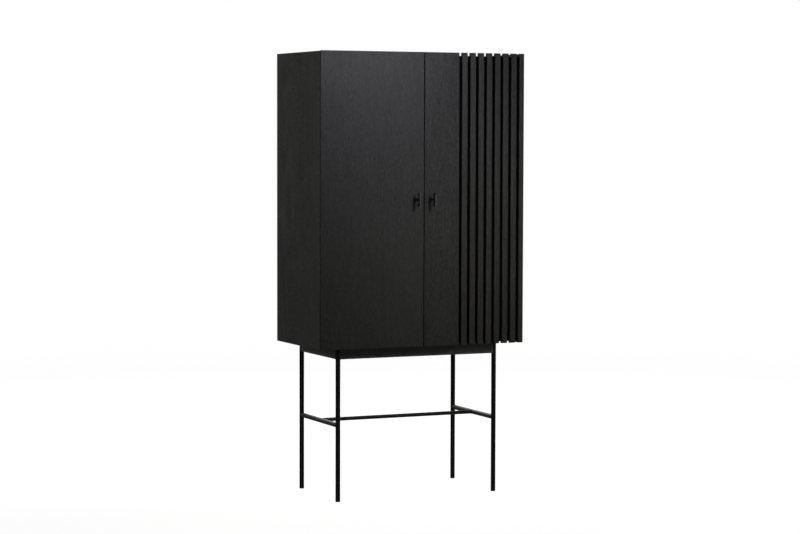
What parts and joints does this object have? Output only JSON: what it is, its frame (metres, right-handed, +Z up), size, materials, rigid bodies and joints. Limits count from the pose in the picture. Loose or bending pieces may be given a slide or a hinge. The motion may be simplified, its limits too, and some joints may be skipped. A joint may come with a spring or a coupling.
{
  "type": "bar armoire",
  "caption": "Tall bar cabinet with a plain door and a slatted door, shelves and stemware runners inside, raised on a slender steel frame.",
  "frame": {"origin": "on the floor, under the middle of the outer box", "axes": "+Z up, the doors face -Y, +X towards the slatted door"},
  "size_m": [0.8, 0.4465, 1.6015],
  "materials": {
    "side_wood": "black stained, satin",
    "case_wood": "black stained, satin",
    "door_wood": "black stained, brushed, satin",
    "slat_wood": "black stained, brushed, satin",
    "door_core_wood": "black stained, matt",
    "shelf_wood": "black stained, satin",
    "back_board": "black stained, matt",
    "dowel_wood": "plain beech",
    "frame_steel": "black powder coat",
    "knob_metal": "black, satin",
    "hinge_steel": "blackened",
    "zinc_steel": "zinc plated",
    "catch_plastic": "matt",
    "foot_plastic": "matt"
  },
  "bodies": {
    "case": {"left_side_panel": "side_wood", "right_side_panel": "side_wood", "top_panel": "case_wood", "bottom_panel": "case_wood", "back_panel": "back_board", "wall_fixing_rail": "case_wood", "lower_shelf": "shelf_wood", "upper_shelf": "shelf_wood", "stemware_spacers": "shelf_wood", "stemware_strips": "shelf_wood", "shelf_pins": "zinc_steel", "panel_dowels": "dowel_wood", "magnetic_catches": "catch_plastic", "left_case_hinge_leaf": "hinge_steel", "right_case_hinge_leaf": "hinge_steel", "case_hinge_screws": "hinge_steel", "left_hinge_pin": "hinge_steel", "right_hinge_pin": "hinge_steel", "front_apron": "frame_steel", "rear_apron": "frame_steel", "left_apron": "frame_steel", "right_apron": "frame_steel", "front_left_leg": "frame_steel", "front_right_leg": "frame_steel", "rear_left_leg": "frame_steel", "rear_right_leg": "frame_steel", "left_stretcher": "frame_steel", "right_stretcher": "frame_steel", "long_stretcher": "frame_steel", "corner_tabs": "frame_steel", "frame_screws": "zinc_steel", "foot_glides": "foot_plastic"},
    "left_door": {"left_door_panel": "door_core_wood", "left_door_front": "door_wood", "left_knob_stem": "knob_metal", "left_knob_bar": "knob_metal", "left_knob_screw": "zinc_steel", "left_strike_plate": "zinc_steel", "left_door_hinge_leaf": "hinge_steel", "left_door_hinge_screws": "hinge_steel"},
    "right_door": {"right_door_panel": "door_core_wood", "right_door_front": "door_wood", "right_knob_stem": "knob_metal", "right_knob_bar": "knob_metal", "right_knob_screw": "zinc_steel", "right_strike_plate": "zinc_steel", "right_door_hinge_leaf": "hinge_steel", "right_door_hinge_screws": "hinge_steel", "right_door_slat_1": "slat_wood", "right_door_slat_2": "slat_wood", "right_door_slat_3": "slat_wood", "right_door_slat_4": "slat_wood", "right_door_slat_5": "slat_wood", "right_door_slat_6": "slat_wood", "right_door_slat_7": "slat_wood", "right_door_slat_8": "slat_wood"}
  },
  "joints": [
    {"name": "left_door_hinge", "type": "hinge", "parent": "case", "child": "left_door", "pos_m": [-0.3982, -0.18705, 1.075], "axis": [0, 0, -1], "range_deg": [0, 100]},
    {"name": "right_door_hinge", "type": "hinge", "parent": "case", "child": "right_door", "pos_m": [0.3982, -0.18705, 1.075], "axis": [0, 0, 1], "range_deg": [0, 100]}
  ]
}
